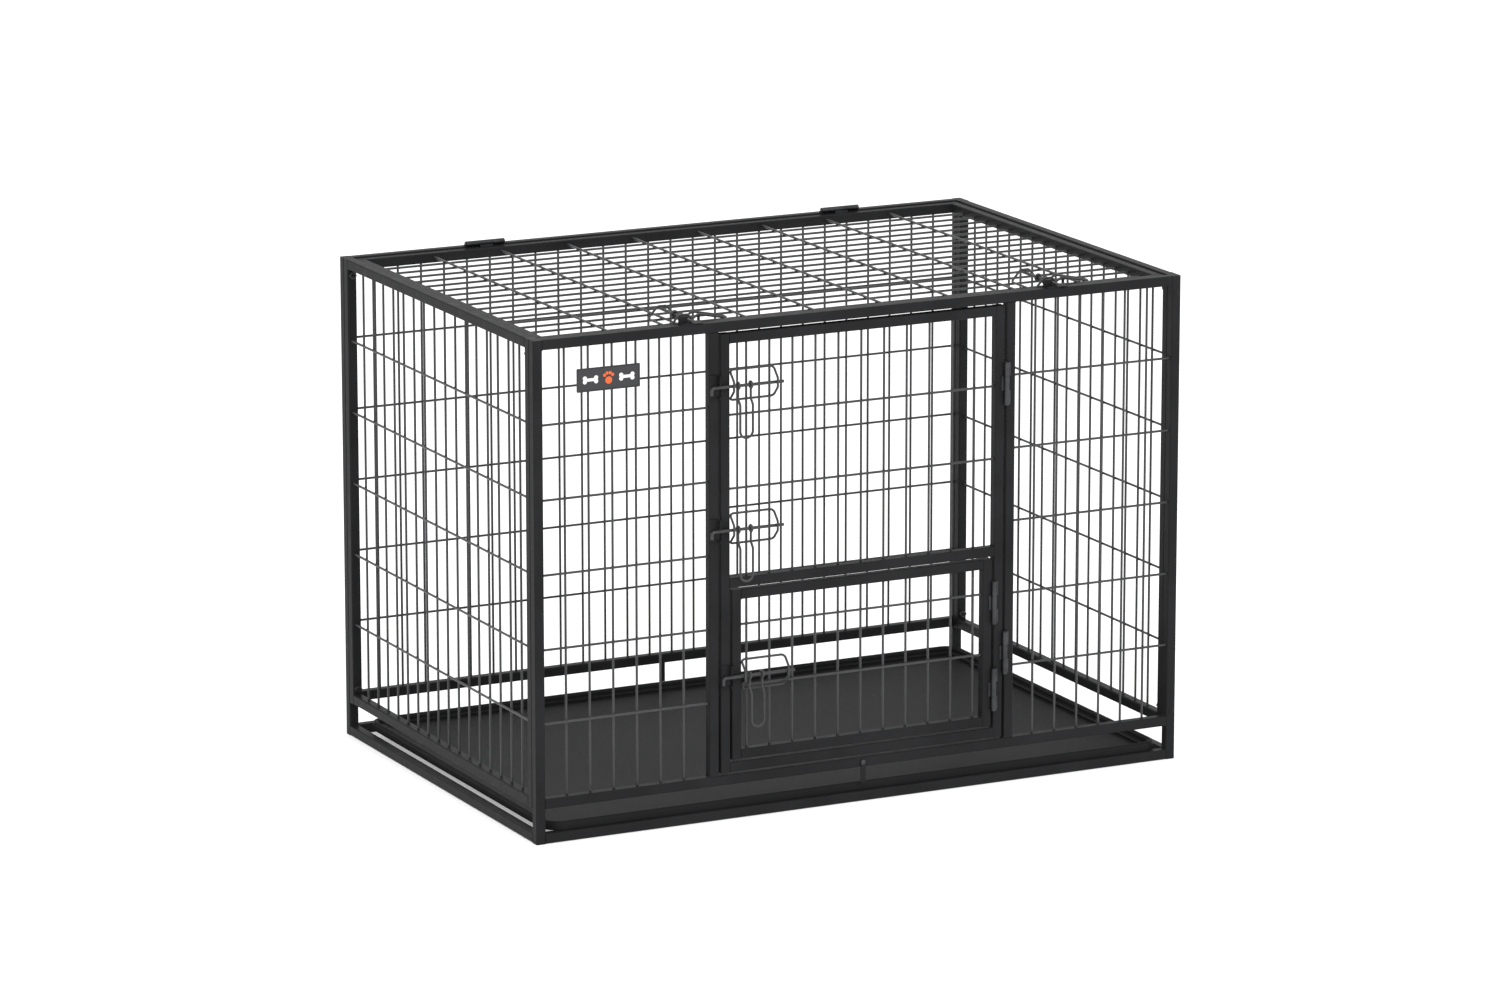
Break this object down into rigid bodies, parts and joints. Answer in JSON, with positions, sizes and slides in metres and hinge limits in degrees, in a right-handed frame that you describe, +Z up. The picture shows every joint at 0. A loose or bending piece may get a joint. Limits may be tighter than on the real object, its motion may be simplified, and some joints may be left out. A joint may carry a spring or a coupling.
{
  "type": "wire dog crate",
  "caption": "Rectangular pet crate of black square tube and welded wire, with a hinged lid, a front door holding a smaller door, slide bolts and a pull-out tray.",
  "frame": {"origin": "on the floor under the middle of the crate's overall box", "axes": "+Z up, -Y towards the side with the doors, +X to the right as seen from that side"},
  "size_m": [1.07, 0.7154, 0.761],
  "materials": {
    "black_powder_coat": "satin powder coat",
    "wire_coat": "semi-gloss powder coat",
    "hinge_steel": "dark zinc",
    "tray_plastic": "fine grained moulding",
    "plate_plastic": "gloss",
    "plate_mark": "matt print"
  },
  "bodies": {
    "frame": {"front_posts": "black_powder_coat", "front_rails": "black_powder_coat", "back_posts": "black_powder_coat", "back_rails": "black_powder_coat", "left_posts": "black_powder_coat", "left_rails": "black_powder_coat", "right_posts": "black_powder_coat", "right_rails": "black_powder_coat", "base_tubes": "black_powder_coat", "tray_bearers": "black_powder_coat", "front_bars": "wire_coat", "front_wires": "wire_coat", "left_bars": "wire_coat", "left_wires": "wire_coat", "right_bars": "wire_coat", "right_wires": "wire_coat", "back_bars": "wire_coat", "back_wires": "wire_coat", "corner_bolts": "black_powder_coat", "corner_nuts": "hinge_steel", "frame_keepers": "black_powder_coat", "frame_knuckles": "hinge_steel", "frame_pins": "hinge_steel", "nameplate": "plate_plastic", "emblem": "plate_mark", "stop_rivet": "hinge_steel", "rear_tab": "black_powder_coat"},
    "main_door": {"main_stiles": "black_powder_coat", "main_rails": "black_powder_coat", "main_bars": "wire_coat", "main_wires": "wire_coat", "main_guides": "wire_coat", "main_knuckles": "hinge_steel", "small_keeper": "black_powder_coat", "small_base_knuckles": "hinge_steel", "small_pins": "hinge_steel"},
    "small_door": {"small_stiles": "black_powder_coat", "small_rails": "black_powder_coat", "small_bars": "wire_coat", "small_wires": "wire_coat", "small_guide": "wire_coat", "small_knuckles": "hinge_steel"},
    "lid": {"lid_long_rails": "black_powder_coat", "lid_end_rails": "black_powder_coat", "lid_bars": "wire_coat", "lid_wires": "wire_coat", "lid_guides": "wire_coat", "lid_knuckles": "hinge_steel"},
    "tray": {"tray": "tray_plastic"},
    "tray_stop": {"tray_stop": "black_powder_coat"},
    "upper_bolt": {"upper_rod": "wire_coat"},
    "upper_bolt_handle": {"upper_handle": "wire_coat"},
    "lower_bolt": {"lower_rod": "wire_coat"},
    "lower_bolt_handle": {"lower_handle": "wire_coat"},
    "small_bolt": {"small_rod": "wire_coat"},
    "small_bolt_handle": {"small_handle": "wire_coat"},
    "lid_bolt_left": {"lid_rod_left": "wire_coat"},
    "lid_bolt_left_handle": {"lid_handle_left": "wire_coat"},
    "lid_bolt_right": {"lid_rod_right": "wire_coat"},
    "lid_bolt_right_handle": {"lid_handle_right": "wire_coat"}
  },
  "joints": [
    {"name": "main_door_hinge", "type": "hinge", "parent": "frame", "child": "main_door", "pos_m": [0.23675, -0.3485, 0.439], "axis": [0, 0, 1], "range_deg": [0, 170]},
    {"name": "small_door_hinge", "type": "hinge", "parent": "main_door", "child": "small_door", "pos_m": [0.21825, -0.3485, 0.21669], "axis": [0, 0, -1], "range_deg": [-170, 0]},
    {"name": "lid_hinge", "type": "hinge", "parent": "frame", "child": "lid", "pos_m": [0, 0.33975, 0.754], "axis": [-1, 0, 0], "range_deg": [0, 210]},
    {"name": "tray_slide", "type": "slide", "parent": "frame", "child": "tray", "axis": [0, -1, 0], "range_m": [0, 0.6]},
    {"name": "tray_stop_swivel", "type": "hinge", "parent": "frame", "child": "tray_stop", "pos_m": [0, -0.3455, 0.06], "axis": [0, 1, 0], "range_deg": [-90, 90]},
    {"name": "upper_bolt_slide", "type": "slide", "parent": "main_door", "child": "upper_bolt", "axis": [1, 0, 0], "range_m": [0, 0.028]},
    {"name": "upper_bolt_handle_swing", "type": "hinge", "parent": "upper_bolt", "child": "upper_bolt_handle", "pos_m": [-0.1987, -0.3489, 0.654], "axis": [-1, 0, 0], "range_deg": [0, 165]},
    {"name": "lower_bolt_slide", "type": "slide", "parent": "main_door", "child": "lower_bolt", "axis": [1, 0, 0], "range_m": [0, 0.028]},
    {"name": "lower_bolt_handle_swing", "type": "hinge", "parent": "lower_bolt", "child": "lower_bolt_handle", "pos_m": [-0.1987, -0.3489, 0.439], "axis": [-1, 0, 0], "range_deg": [0, 165]},
    {"name": "small_bolt_slide", "type": "slide", "parent": "small_door", "child": "small_bolt", "axis": [1, 0, 0], "range_m": [0, 0.028]},
    {"name": "small_bolt_handle_swing", "type": "hinge", "parent": "small_bolt", "child": "small_bolt_handle", "pos_m": [-0.1802, -0.3489, 0.21669], "axis": [-1, 0, 0], "range_deg": [0, 165]},
    {"name": "lid_bolt_left_slide", "type": "slide", "parent": "lid", "child": "lid_bolt_left", "axis": [0, 1, 0], "range_m": [0, 0.028]},
    {"name": "lid_bolt_left_handle_swing", "type": "hinge", "parent": "lid_bolt_left", "child": "lid_bolt_left_handle", "pos_m": [-0.279, -0.2917, 0.7544], "axis": [0, -1, 0], "range_deg": [0, 170]},
    {"name": "lid_bolt_right_slide", "type": "slide", "parent": "lid", "child": "lid_bolt_right", "axis": [0, 1, 0], "range_m": [0, 0.028]},
    {"name": "lid_bolt_right_handle_swing", "type": "hinge", "parent": "lid_bolt_right", "child": "lid_bolt_right_handle", "pos_m": [0.325, -0.2917, 0.7544], "axis": [0, -1, 0], "range_deg": [0, 170]}
  ]
}
